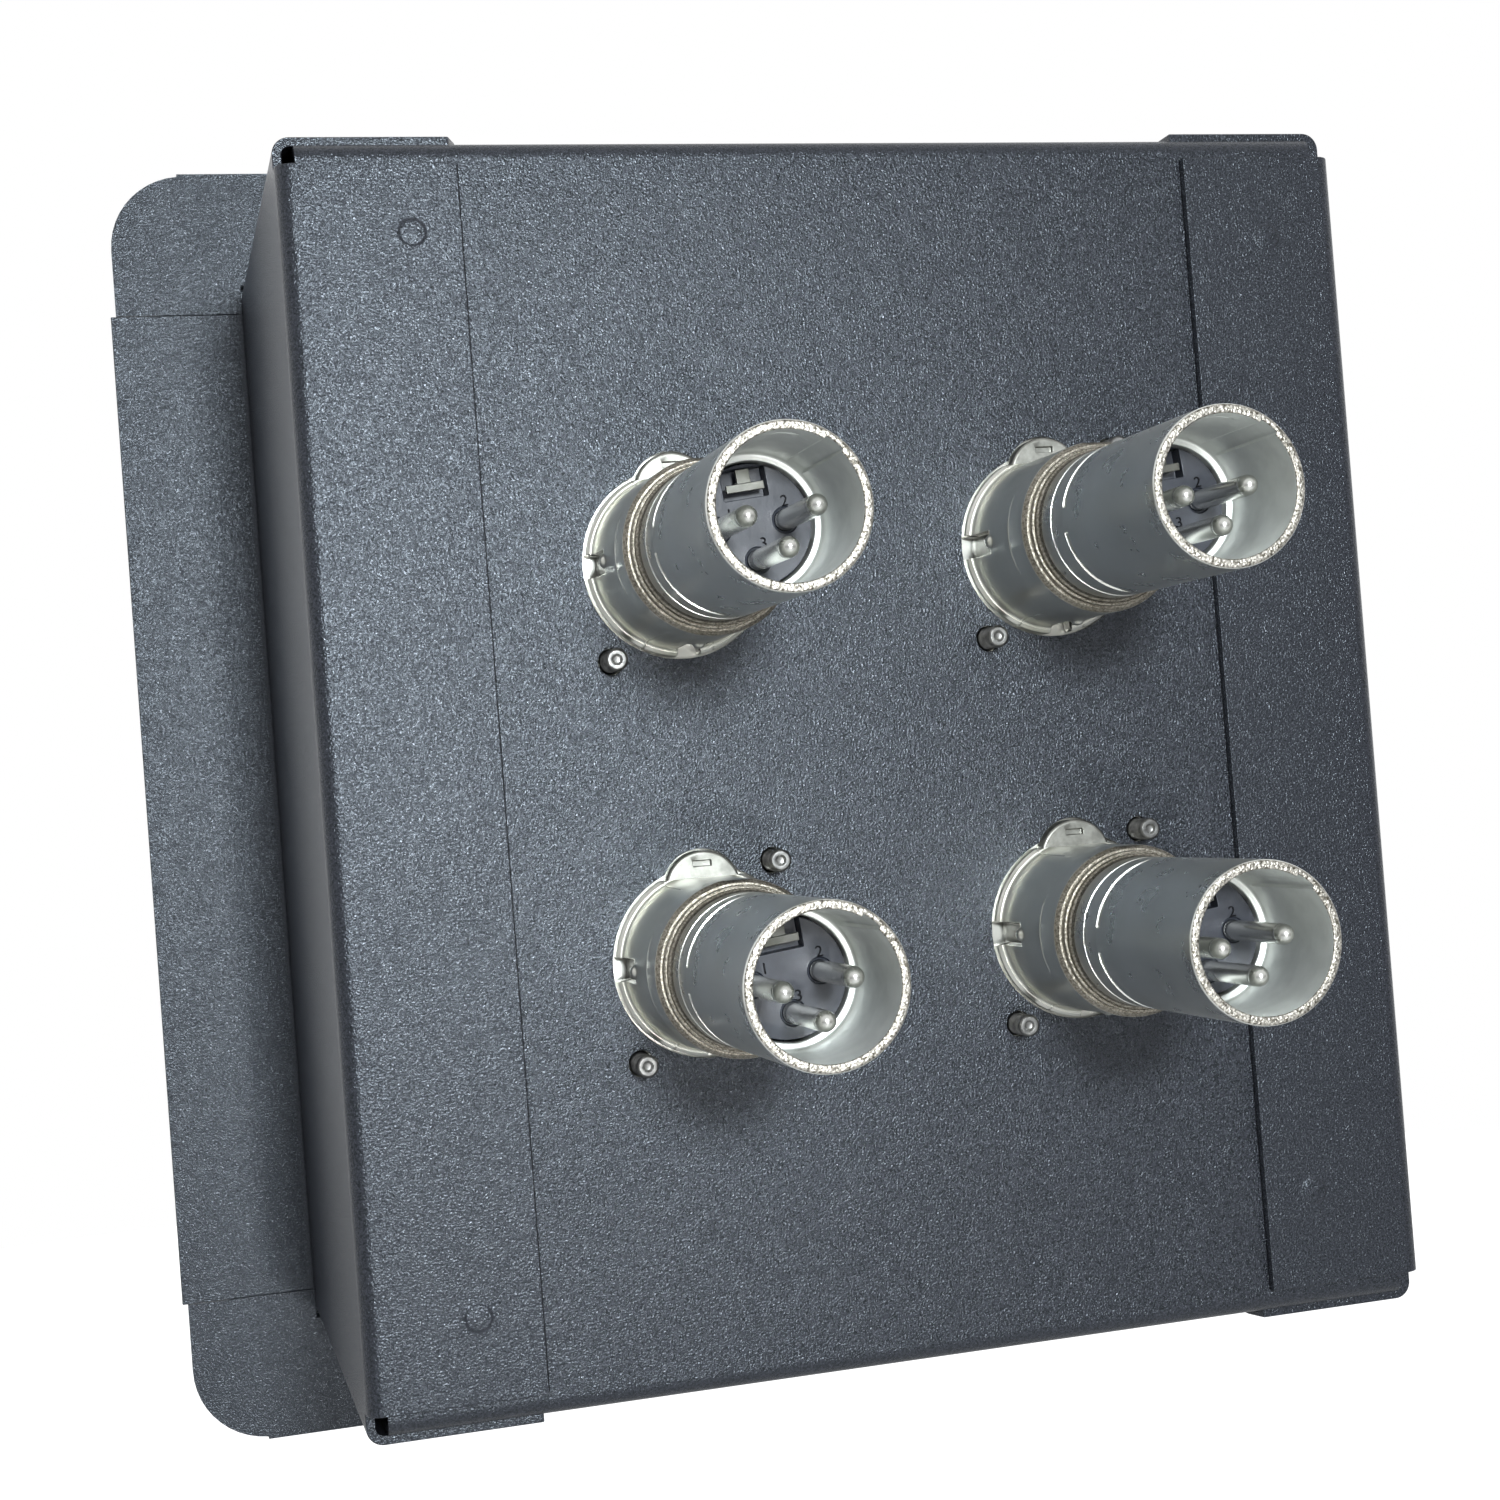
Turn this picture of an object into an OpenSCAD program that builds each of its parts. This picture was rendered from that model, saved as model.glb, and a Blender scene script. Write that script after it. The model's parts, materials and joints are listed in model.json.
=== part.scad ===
// Recessed connector box: a folded-steel pocket that sinks into a wall. Four panel
// connectors stand in its rear plate, and a cover hangs from a hinge on its flange.
// X runs to the right seen from the front, Y into the wall, Z up. Y = 0 is the wall face.

/* [Pocket] */
// Width over the two side cheeks
box_w = 142.5; // [130:0.5:170]
// Height over the top and bottom walls
box_h = 158.5; // [140:0.5:190]
// Depth from the wall face to the rear plate's outer face
box_d = 83; // [60:0.5:120]
// Sheet thickness of channel and cheeks
sheet = 1.2; // [1:0.1:1.6]
// Inside radius of every fold
fold_r = 1; // [0.6:0.1:1.2]

/* [Flange] */
// Overall width of the flange
flange_w = 180.8; // [170:0.2:220]
// Overall height of the flange
flange_h = 196; // [185:1:240]
// Radius of the flange corners
flange_r = 11.5; // [6:0.5:18]
// Diameter of the mounting screw holes
mount_hole_d = 4.5; // [3.5:0.1:6]
// Sideways distance between the mounting holes
mount_x = 120; // [80:1:130]
// Upright distance between the mounting holes
mount_z = 177.2; // [170:0.2:182]

/* [Side cheeks] */
// Width of the flap that lies on the rear plate
flap_w = 22.2; // [15:0.1:30]
// How far flap and flange strip stop short of the box's top and bottom
relief = 3; // [2.5:0.5:6]
// Length of the left and right cheek's corner tabs at their rear edge
tab_l = [22.2, 21.9]; // [15:0.1:30]
// Corner cut from the left cheek's lower tab and the right cheek's upper tab
tab_cut = [0.8, 1.2]; // [0.5:0.1:4]

/* [Connectors] */
// Distance between connector axes, both ways
pitch = 50.5; // [40:0.5:60]
// Sideways offset of the four connectors
shift_x = -0.6; // [-3:0.1:3]
// Height of the barrel rims over the rear plate
rim_h = 53.2; // [45:0.1:60]
// Outside radius of the barrels
barrel_r = 9.2; // [8.8:0.1:9.6]
// Inside radius of the barrels
cup_r = 8.1; // [7.9:0.1:8.3]
// Turn of the contacts about the connector axis, in degrees
twist = 6.5; // [0:0.5:10]

/* [Cover] */
// Cover width
cover_w = 168; // [150:1:182]
// Cover thickness
cover_t = 2; // [1.5:0.1:3]
// Width of each cable slot
slot_w = 22; // [14:1:28]
// Gap between flange and cover, filled by the bumpers
cover_gap = 2; // [1.5:0.1:4]
// Height of the hinge axis
hinge_z = 84.5; // [83:0.5:86]
// Length of the hinge
hinge_l = 90; // [60:2:110]

/* [Latches] */
// Travel of each push tab
latch_travel = 2; // [1:0.1:2]

/* [Hidden] */
$fn = 64;
XLR_PARTS = ["housing", "barrel", "male_insert", "female_insert", "contacts",
             "ground_contact", "latch", "latch_spring", "screws"];

black_powder = [0.16, 0.17, 0.19];
nickel = [0.74, 0.73, 0.69];
zinc = [0.62, 0.62, 0.63];
blue_black = [0.10, 0.11, 0.14];
rubber_black = [0.06, 0.06, 0.06];

// Folded steel
bend_r = fold_r + sheet;              // outside radius of every fold
half_w = box_w / 2;
half_h = box_h / 2;
side_gap = 0.35;                      // gap between the channel and the cheeks' folds
inner_w = box_w - 2 * (bend_r + side_gap);
flap_h = box_h - 2 * relief;          // height of the flaps
strip_h = flap_h - 0.6;               // height of the cheeks' flange strips
seam = 0.08;                          // gap between a strip's end and the channel's ear
strip_over = 0.8;                     // the strips stand this far past the flange's edge
nibble = [79.8, 0.35];                // the flange's corners are cut this much lower, from here out
ear_gap = 0.05;                       // the ears stop this far short of the cheeks' walls
tab_start = 6;                        // distance from the wall face to the tabs
tab_end = box_d - 2.4;                // rear edge of the tabs and of the walls beside them
flap_rivet_r = 1.2;
flap_rivet_at = [[55.2, 67.5], [-60.5, 65.3], [57, -65.8], [-56.1, -63.6]];

// Cover and hinge
cover_back = -sheet - cover_gap;
cover_front = cover_back - cover_t;
cover_bottom = -83.5;
cover_corner_r = 6;
cover_top = hinge_z - 3.3;
leaf_t = 1;
knuckle_r = 2.5;
knuckles = 5;
knuckle_gap = 0.4;
hinge_y = -sheet - 2.8;
hinge_pin_r = 1.2;
leaf_z = [72, 94];                    // far edges of the moving and the fixed leaf
rivet_r = 1.5;
rivet_head = [2.6, 1];                // radius and height
flange_rivet_x = [-38, -14, 14, 38];
flange_rivet_z = 91;
cover_rivet_x = [-32, -8, 8, 32];     // beside the flange's rivets, which they pass when open
cover_rivet_z = 76;
slot_x = 32;
slot_top = -66;                       // height of the centre of the slots' round ends
finger_hole = [10, -60];              // radius and height
trim_wall = 1.5;                      // trim inside the slot, and its lip over the cover
trim_lip_t = 0.7;
bumper = [3, 79, -79.9];              // radius, sideways place, height

// Connectors, each in its own frame: Z = 0 is the rear face of the plate
front_z = -sheet - 3;                 // front face of the connector's square flange
d_flange = [26, 31];
collar_r = 11.9;
collar_end = 18.3;
collar_flat = 10.6;
hole_r = 12.2;                        // hole in the plate round the collar
boss_r = 4.95;                        // latch boss over the collar
boss_y = 9.05;
boss_end = 1;
screw_at = [[-9.5, -12], [9.5, 12]];
screw_r = 1.45;
screw_end = 3.9;
screw_head_h = 1.5;
socket_r = 9.6;                       // bore that takes the sleeve of a cable plug
socket_floor = 11;
spigot_r = 8.95;
insert_r = 6.9;
face_z = 37.1;                        // face of the male insert
ledge_z = 37.6;                       // ledge in the barrel round that face
nose_r = 7.9;                         // female insert, and its front face
nose_z = front_z + 0.3;
key_angle = 44 + twist;
key_w = 2.3;
pin_r = 1.19;
pin_end = 50.8;
pin_circle = 3.95;
pin_angles = [180, 0, -90];
sleeve_r = 1.7;                       // socket end of each contact
sleeve_front = -2.9;
fit = 0.02;                           // radial play of a fixed fit
slack = 0.05;                         // play on each side of a sliding fit
recess = [5.2, 3.4, 2];               // recess for the ground contact
recess_y = 4.75;
leg = [1.6, 0.5];                     // ground contact's leg, and the floor of its slot
leg_floor = 30;
pocket = [4.8, 2.2];                  // latch pocket, width and height
pocket_y = 11.8;
pocket_end = -0.2;
spring_l = 0.8 + latch_travel;
spring_r = 0.8;
wire_r = 0.13;
latch_tail = pocket_end - spring_l;
pad_t = 1.5;
pad_z = front_z - latch_travel - 0.2; // rear face of the push tab

// ---------- Flat shapes ----------

// Rectangle about the origin with true round corners
module round_rect(size, r) {
    square([size.x - 2 * r, size.y], center = true);
    square([size.x, size.y - 2 * r], center = true);
    for (sx = [-1, 1], sy = [-1, 1])
        translate([sx * (size.x / 2 - r), sy * (size.y / 2 - r)]) circle(r);
}

// Cross-section of a fold: a quarter ring about the origin, towards the given quadrant
module fold_2d(quadrant) {
    intersection() {
        difference() {
            circle(bend_r);
            circle(fold_r);
        }
        translate([min(0, quadrant.x * bend_r), min(0, quadrant.y * bend_r)]) square(bend_r);
    }
}

// Slot with a round top, centred on that round end and reaching down
module slot_2d(r, depth) {
    circle(r);
    translate([-r, -depth]) square([2 * r, depth]);
}

// ---------- Placing ----------

// A profile drawn in (Y, Z), made l wide about X = 0
module along_x(l) {
    rotate([90, 0, 90]) linear_extrude(l, center = true) children();
}

// A plate drawn in (X, Z), from y0 with thickness t towards +Y
module plate(y0, t) {
    translate([0, y0 + t, 0]) rotate([90, 0, 0]) linear_extrude(t) children();
}

// A turned part, drawn along its own Z, laid along +Y from the wall face
module turned_y(x, z) {
    translate([x, 0, z]) rotate([-90, 0, 0]) children();
}

function xlr_x(i) = shift_x + (i % 2 == 1 ? -1 : 1) * pitch / 2;
function xlr_z(i) = (i <= 2 ? 1 : -1) * pitch / 2;

// Connector frame: Z out of the rear plate, Y up, X to the right seen from the rear.
// Connectors 1 to 4 run left to right, then down, seen from the front.
module at_xlr(i) {
    translate([xlr_x(i), box_d, xlr_z(i)]) rotate([90, 0, 180]) children();
}

// ---------- Folded steel ----------

module connector_cutout_2d() {
    circle(hole_r);
    translate([0, boss_y]) circle(boss_r + 0.25);
    for (p = screw_at) translate(p) circle(screw_r + 0.25);
}

// Channel profile in (Y, Z): rear plate, both walls and the roots of the flange strips
module channel_2d() {
    difference() {
        translate([box_d / 2, 0]) round_rect([box_d, box_h], bend_r);
        translate([(box_d - sheet) / 2, 0]) round_rect([box_d - sheet, box_h - 2 * sheet], fold_r);
        translate([-1, -half_h - 1]) square([1 + bend_r, box_h + 2]);
    }
    for (sz = [0, 1]) mirror([0, sz]) {
        translate([fold_r, half_h - sheet]) square([sheet, sheet]);
        translate([fold_r, half_h + fold_r]) fold_2d([-1, -1]);
    }
}

// Flange strips of the channel, whose ends run down beside the box as ears
module channel_flange_2d() {
    difference() {
        union() {
            round_rect([flange_w, flange_h - 2 * nibble[1]], flange_r);
            square([2 * nibble[0], flange_h], center = true);
        }
        square([flange_w + 2, strip_h + 2 * seam], center = true);
        square([inner_w, box_h + 2 * fold_r], center = true);
        for (sx = [0, 1], sz = [0, 1]) mirror([sx, 0]) mirror([0, sz]) {
            translate([inner_w / 2, strip_h / 2])
                square([ear_gap + half_w - inner_w / 2, ear_gap + half_h + sheet - strip_h / 2]);
            translate([mount_x / 2, mount_z / 2]) circle(mount_hole_d / 2);
        }
        for (x = flange_rivet_x) translate([x, flange_rivet_z]) circle(rivet_r);
    }
}

// Holes for the connectors and the flap rivets, drawn in (X, Z)
module rear_holes_2d() {
    for (i = [1:4]) translate([xlr_x(i), xlr_z(i)]) mirror([1, 0]) connector_cutout_2d();
    for (p = flap_rivet_at) translate(p) circle(flap_rivet_r);
}

module channel() {
    color(black_powder)
    difference() {
        union() {
            along_x(inner_w) channel_2d();
            plate(-sheet, sheet) channel_flange_2d();
        }
        plate(box_d - 2 * sheet, 2 * sheet + 1) rear_holes_2d();
    }
}

// Profile in (X, Y) of a cheek's flap, side wall and the fold of its flange strip
module cheek_2d() {
    translate([half_w - flap_w, box_d]) square([flap_w - bend_r, sheet]);
    translate([half_w - bend_r, box_d + sheet - bend_r]) fold_2d([1, 1]);
    translate([half_w - sheet, fold_r]) square([sheet, box_d - 2 * fold_r]);
    translate([half_w + fold_r, fold_r]) fold_2d([-1, -1]);
}

// Corner tab on the top wall, drawn in (X, Y). It grows longer by cut away from its rear edge.
module tab_2d(length, cut) {
    end = half_w - length;
    polygon(concat(
        [[half_w - bend_r, tab_end], [half_w - bend_r, tab_start], [end - cut, tab_start]],
        cut > 0 ? [[end - cut, tab_end - 3]] : [],
        [[end, tab_end]]
    ));
}

// One end of a cheek: the wall runs on past the flap and folds over into the tab
module cheek_end(length, cut) {
    translate([half_w - sheet, 0, flap_h / 2]) cube([sheet, tab_end, half_h - fold_r - flap_h / 2]);
    plate(0, tab_end) translate([half_w - bend_r, half_h - fold_r]) fold_2d([1, 1]);
    translate([0, 0, half_h]) linear_extrude(sheet) tab_2d(length, cut);
}

// Cheek for the +X side, with its flap's rivet holes at the given (X, Z) places. cuts are
// the corners cut from its upper and its lower tab.
module cheek(length, cuts, rivets) {
    difference() {
        linear_extrude(flap_h, center = true) cheek_2d();
        for (sz = [-1, 1]) translate([half_w, 0, sz * half_h])
            cube([4, 4, box_h - strip_h], center = true);
        plate(box_d - 1, sheet + 2) for (p = rivets) translate(p) circle(flap_rivet_r);
    }
    plate(-sheet, sheet) translate([half_w + fold_r, -strip_h / 2])
        square([(flange_w - box_w) / 2 + strip_over - fold_r, strip_h]);
    for (sz = [0, 1]) mirror([0, 0, sz]) cheek_end(length, cuts[sz]);
}

module cheek_right() {
    color(black_powder)
    cheek(tab_l[1], [tab_cut[1], 0], [for (p = flap_rivet_at) if (p.x > 0) p]);
}

module cheek_left() {
    color(black_powder)
    mirror([1, 0, 0])
        cheek(tab_l[0], [0, tab_cut[0]], [for (p = flap_rivet_at) if (p.x < 0) [-p.x, p.y]]);
}

// Low round heads that hold the flaps to the rear plate
module flap_rivets() {
    color(black_powder)
    for (p = flap_rivet_at) turned_y(p.x, p.y) {
        translate([0, 0, box_d - sheet]) cylinder(r = flap_rivet_r, h = 2 * sheet);
        translate([0, 0, box_d + sheet]) cylinder(r1 = 1.8, r2 = 1.5, h = 0.3);
        translate([0, 0, box_d - sheet - 0.5]) cylinder(r = 1.9, h = 0.5);
    }
}

// ---------- Cover and hinge ----------

module cover_2d() {
    difference() {
        union() {
            translate([0, (cover_bottom + cover_top) / 2])
                round_rect([cover_w, cover_top - cover_bottom], cover_corner_r);
            translate([-cover_w / 2, cover_top - 2 * cover_corner_r])
                square([cover_w, 2 * cover_corner_r]);
        }
        for (sx = [-1, 1]) translate([sx * slot_x, slot_top]) slot_2d(slot_w / 2, 40);
        translate([0, finger_hole[1]]) circle(finger_hole[0]);
        for (x = cover_rivet_x) translate([x, cover_rivet_z]) circle(rivet_r);
    }
}

module cover() {
    color(black_powder) plate(cover_front, cover_t) cover_2d();
}

// Rubber edging: a band inside each slot with a lip over both faces of the cover
module cable_trims() {
    depth = slot_top - cover_bottom;
    color(rubber_black)
    for (sx = [-1, 1]) translate([sx * slot_x, 0, slot_top]) difference() {
        plate(cover_front - trim_lip_t, cover_t + 2 * trim_lip_t) difference() {
            slot_2d(slot_w / 2 + trim_wall, depth);
            slot_2d(slot_w / 2 - trim_wall, depth + 1);
        }
        plate(cover_front, cover_t) difference() {
            slot_2d(slot_w, depth + 1);
            slot_2d(slot_w / 2, depth + 2);
        }
    }
}

module bumpers() {
    color(rubber_black)
    for (sx = [-1, 1]) turned_y(sx * bumper[1], bumper[2])
        translate([0, 0, cover_back]) cylinder(r = bumper[0], h = cover_gap);
}

// Places of knuckle number k, counted along X
function knuckle_pitch() = (hinge_l + knuckle_gap) / knuckles;
function knuckle_start(k) = -hinge_l / 2 + k * knuckle_pitch();

// A leaf with the knuckles of the given numbers. It lies from y0, and reaches from the
// hinge line to far_z; between its own knuckles it stays clear of the other leaf's.
module hinge_leaf(own, y0, far_z, rivets_x, rivets_z) {
    side = sign(far_z - hinge_z);
    clear_z = hinge_z + side * (knuckle_r + 0.3);
    difference() {
        union() {
            plate(y0, leaf_t) translate([-hinge_l / 2, min(clear_z, far_z)])
                square([hinge_l, abs(far_z - clear_z)]);
            for (k = own) translate([knuckle_start(k), 0, 0]) {
                plate(y0, leaf_t) translate([0, min(hinge_z, clear_z)])
                    square([knuckle_pitch() - knuckle_gap, abs(clear_z - hinge_z)]);
                translate([0, hinge_y, hinge_z]) rotate([0, 90, 0])
                    cylinder(r = knuckle_r, h = knuckle_pitch() - knuckle_gap);
            }
        }
        translate([-hinge_l, hinge_y, hinge_z]) rotate([0, 90, 0])
            cylinder(r = hinge_pin_r + slack, h = 2 * hinge_l);
        plate(y0 - 1, leaf_t + 2) for (x = rivets_x) translate([x, rivets_z]) circle(rivet_r);
    }
}

module hinge_leaf_fixed() {
    color(zinc)
    hinge_leaf([0, 2, 4], -sheet - leaf_t, leaf_z[1], flange_rivet_x, flange_rivet_z);
}

module hinge_leaf_moving() {
    color(zinc) hinge_leaf([1, 3], cover_back, leaf_z[0], cover_rivet_x, cover_rivet_z);
}

// Pin with a staked head at each end
module hinge_pin() {
    color(zinc) translate([0, hinge_y, hinge_z]) rotate([0, 90, 0]) {
        cylinder(r = hinge_pin_r, h = hinge_l, center = true);
        for (sx = [0, 1]) mirror([0, 0, sx]) translate([0, 0, hinge_l / 2])
            cylinder(r1 = 2, r2 = 1.5, h = 0.8);
    }
}

// Domed rivet along +Z: its head's underside is at 0 and it fills a hole of depth grip
module rivet(grip, tail_h) {
    dome_r = (pow(rivet_head[0], 2) + pow(rivet_head[1], 2)) / (2 * rivet_head[1]);
    rotate_extrude() intersection() {
        translate([0, dome_r - rivet_head[1]]) circle(dome_r);
        translate([0, -rivet_head[1]]) square(rivet_head);
    }
    cylinder(r = rivet_r, h = grip);
    if (tail_h > 0) translate([0, 0, grip]) cylinder(r = rivet_r + 0.9, h = tail_h);
}

module flange_rivets() {
    color(zinc) for (x = flange_rivet_x) turned_y(x, flange_rivet_z)
        translate([0, 0, -sheet - leaf_t]) rivet(leaf_t + sheet, 0);
}

module cover_rivets() {
    color(zinc) for (x = cover_rivet_x) turned_y(x, cover_rivet_z)
        translate([0, 0, cover_front]) rivet(cover_t + leaf_t, 0.5);
}

// ---------- Connectors ----------

// Die-cast housing: square flange inside the box, collar and latch boss through the plate
module housing() {
    color(nickel)
    difference() {
        union() {
            translate([0, 0, front_z]) linear_extrude(-sheet - front_z) round_rect(d_flange, 3);
            difference() {
                rotate_extrude() polygon([
                    [0, -2 * sheet], [collar_r, -2 * sheet], [collar_r, 0.7], [11.45, 1.15], [10.9, 6],
                    [10.75, 11], [10.75, 17.6], [10.25, collar_end], [0, collar_end],
                ]);
                translate([-10, collar_flat, 0]) cube([20, 5, 14]);
                for (a = [180, -90]) rotate([0, 0, a]) translate([10.45, -1.3, 0]) cube([3, 2.6, 6]);
            }
            translate([0, boss_y, front_z + 1]) cylinder(r = boss_r, h = boss_end - front_z - 1);
            for (a = [180, -90]) rotate([0, 0, a]) translate([10.2, 0, 7]) sphere(1.2);
        }
        translate([0, 0, front_z - 1]) cylinder(r = socket_r, h = socket_floor - front_z + 1);
        translate([0, 0, front_z]) cylinder(r1 = socket_r + 0.6, r2 = socket_r, h = 0.6);
        cylinder(r = spigot_r + fit, h = collar_end + 1);
        translate([-pocket.x / 2, pocket_y - pocket.y / 2, front_z - 1])
            cube([pocket.x, pocket.y, pocket_end - front_z + 1]);
        translate([-1.3, socket_r - 1, front_z - 1]) cube([2.6, 3, pocket_end - front_z + 1]);
        translate([-1.2, 12.1, boss_end - 0.5]) cube([2.4, 0.8, 1]);
        for (p = screw_at) translate([p.x, p.y, front_z]) {
            cylinder(r1 = screw_r + screw_head_h, r2 = screw_r, h = screw_head_h);
            cylinder(r = screw_r + slack, h = 5);
        }
    }
}

// Male barrel: spigot in the housing, two stepped shoulders, a groove and the cup
module barrel() {
    color(nickel)
    difference() {
        rotate_extrude() polygon([
            [insert_r + fit, socket_floor], [spigot_r, socket_floor], [spigot_r, collar_end],
            [10, collar_end], [10, 19.35], [9.5, 19.8], [barrel_r, 20], [barrel_r, 27.2],
            [barrel_r - 0.3, 27.35], [barrel_r - 0.3, 27.95], [barrel_r, 28.1],
            [barrel_r, rim_h - 0.25], [barrel_r - 0.25, rim_h], [cup_r + 0.2, rim_h],
            [cup_r, rim_h - 0.2], [cup_r, ledge_z + 0.6], [cup_r - 0.6, ledge_z],
            [insert_r + 0.25, ledge_z], [insert_r + 0.25, face_z - 1.5], [insert_r + fit, face_z - 1.5],
        ]);
        rotate([0, 0, key_angle]) translate([cup_r - 1, -key_w / 2, ledge_z + 0.6])
            cube([1.35, key_w, rim_h]);
    }
}

module at_contacts() {
    for (a = pin_angles) rotate([0, 0, a + twist]) translate([pin_circle, 0, 0]) children();
}

// Plastic carrier of the pins, with a recess for the ground contact
module male_insert() {
    color(blue_black)
    difference() {
        translate([0, 0, socket_floor]) cylinder(r = insert_r, h = face_z - socket_floor);
        at_contacts() {
            translate([0, 0, socket_floor - 1]) cylinder(r = pin_r + fit, h = face_z);
            translate([0, 0, face_z - 0.3]) cylinder(r = pin_r + 0.3, h = 1);
        }
        rotate([0, 0, twist]) translate([0, recess_y, face_z]) {
            cube([recess.x, recess.y, 2 * recess.z], center = true);
            cube([leg.x, leg.y, 2 * (face_z - leg_floor)], center = true);
        }
    }
}

// Plastic nose that goes into a cable plug, with its guide key
module female_insert() {
    color(blue_black)
    difference() {
        translate([0, 0, nose_z]) linear_extrude(socket_floor - nose_z) {
            circle(nose_r);
            rotate(key_angle) translate([nose_r - 0.5, -1]) square([1.1, 2]);
        }
        at_contacts() {
            translate([0, 0, front_z - 1]) cylinder(r = pin_r + 0.16, h = 10);
            translate([0, 0, sleeve_front]) cylinder(r = sleeve_r + fit, h = 20);
        }
    }
}

// Three through contacts: a socket at the front, a round-tipped pin at the rear
module contacts() {
    color(nickel)
    at_contacts() difference() {
        union() {
            translate([0, 0, sleeve_front]) cylinder(r = sleeve_r, h = socket_floor - sleeve_front);
            translate([0, 0, socket_floor]) cylinder(r = pin_r, h = pin_end - pin_r - socket_floor);
            translate([0, 0, pin_end - pin_r]) sphere(pin_r);
        }
        translate([0, 0, sleeve_front - 1]) cylinder(r = pin_r + 0.02, h = 11.5);
    }
}

// Spring strip in the male insert's recess that touches a mated shell
module ground_contact() {
    color(nickel)
    rotate([0, 0, twist]) {
        translate([-leg.x / 2, recess_y - leg.y / 2, leg_floor])
            cube([leg.x, leg.y, face_z - 0.4 - leg_floor]);
        translate([-2.2, recess_y - 0.9, face_z - 0.4]) cube([4.4, 0.9, 0.6]);
        translate([-leg.x / 2, recess_y - 0.9, face_z - 0.4]) cube([leg.x, 2.5, 0.4]);
    }
}

// Push tab, stem in the pocket, and the hook that catches a cable plug's window
module latch() {
    color(nickel) {
        translate([0, 12.7, pad_z - pad_t]) linear_extrude(pad_t) round_rect([8.8, 4.6], 1);
        translate([slack - pocket.x / 2, pocket_y - pocket.y / 2 + slack, pad_z])
            cube([pocket.x - 2 * slack, pocket.y - 2 * slack, latch_tail - pad_z]);
        translate([-1.2, 8.9, pad_z + 1]) cube([2.4, 2.5, 1.8]);
    }
}

// Points of the coil's sections: ring j of the wire, turned about the coil's axis
coil_turns = 3;
coil_steps = 20 * coil_turns;
wire_sides = 8;
coil_points = [
    for (j = [0:coil_steps]) let (a = 360 * coil_turns * j / coil_steps,
                                  rise = (spring_l - 2 * wire_r) * j / coil_steps)
        for (k = [0:wire_sides - 1]) let (b = 360 * k / wire_sides, r = spring_r + wire_r * cos(b))
            [r * cos(a), r * sin(a), wire_r + rise + wire_r * sin(b)]
];
coil_sides = [
    for (j = [0:coil_steps - 1]) for (k = [0:wire_sides - 1]) let (n = (k + 1) % wire_sides)
        [j * wire_sides + k, j * wire_sides + n, (j + 1) * wire_sides + n, (j + 1) * wire_sides + k]
];
coil_ends = [
    [for (k = [wire_sides - 1:-1:0]) k],
    [for (k = [0:wire_sides - 1]) coil_steps * wire_sides + k],
];

module latch_spring() {
    color(zinc) translate([0, pocket_y, latch_tail])
        polyhedron(coil_points, concat(coil_sides, coil_ends));
}

// Countersunk machine screws, whose dimpled ends stand out of the rear plate
module screws() {
    color(zinc)
    for (p = screw_at) translate([p.x, p.y, front_z]) difference() {
        union() {
            cylinder(r1 = screw_r + screw_head_h, r2 = screw_r, h = screw_head_h);
            cylinder(r = screw_r, h = screw_end - 0.3 - front_z);
            translate([0, 0, screw_end - 0.3 - front_z])
                cylinder(r1 = screw_r, r2 = screw_r - 0.3, h = 0.3);
        }
        for (a = [0, 90]) rotate([0, 0, a]) cube([3, 0.7, 1.8], center = true);
        translate([0, 0, screw_end - 0.3 - front_z]) cylinder(r1 = 0.2, r2 = 0.7, h = 0.35);
    }
}

// ---------- Nodes ----------

channel();
cheek_left();
cheek_right();
flap_rivets();
cover();
cable_trims();
bumpers();
hinge_leaf_fixed();
hinge_leaf_moving();
hinge_pin();
flange_rivets();
cover_rivets();
for (i = [1:4]) {
    at_xlr(i) housing();
    at_xlr(i) barrel();
    at_xlr(i) male_insert();
    at_xlr(i) female_insert();
    at_xlr(i) contacts();
    at_xlr(i) ground_contact();
    at_xlr(i) latch();
    at_xlr(i) latch_spring();
    at_xlr(i) screws();
}
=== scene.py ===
"""Looks of a recessed connector box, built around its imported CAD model.

Row frame: X to the right seen from the front, Y into the wall, Z up, in metres. The parts of a connector
are made once, in millimetres in the connector's own frame: x to the right and y up seen from the rear, z out
of the rear plate. They then stand at each place that the record's rear mounts give.
"""
import json
import math

import bmesh
import bpy
from mathutils import Matrix, Vector


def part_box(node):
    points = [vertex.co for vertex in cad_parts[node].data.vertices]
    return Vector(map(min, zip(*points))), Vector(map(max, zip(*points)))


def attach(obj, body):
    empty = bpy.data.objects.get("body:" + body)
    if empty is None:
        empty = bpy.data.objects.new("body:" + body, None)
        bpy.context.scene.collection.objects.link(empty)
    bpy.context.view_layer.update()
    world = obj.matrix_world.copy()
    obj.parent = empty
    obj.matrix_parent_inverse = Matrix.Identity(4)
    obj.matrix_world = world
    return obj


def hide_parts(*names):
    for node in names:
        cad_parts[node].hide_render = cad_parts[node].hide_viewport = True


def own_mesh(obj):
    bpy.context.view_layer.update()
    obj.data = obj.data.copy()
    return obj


MM = 0.001
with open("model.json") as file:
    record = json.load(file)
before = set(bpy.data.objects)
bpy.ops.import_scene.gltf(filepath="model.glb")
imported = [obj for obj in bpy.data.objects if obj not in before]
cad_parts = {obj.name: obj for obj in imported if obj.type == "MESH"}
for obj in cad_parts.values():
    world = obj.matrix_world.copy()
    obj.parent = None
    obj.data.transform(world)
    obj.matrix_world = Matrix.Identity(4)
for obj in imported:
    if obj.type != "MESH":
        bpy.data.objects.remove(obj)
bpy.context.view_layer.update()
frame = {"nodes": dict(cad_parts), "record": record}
nodes = frame["nodes"]
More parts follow.
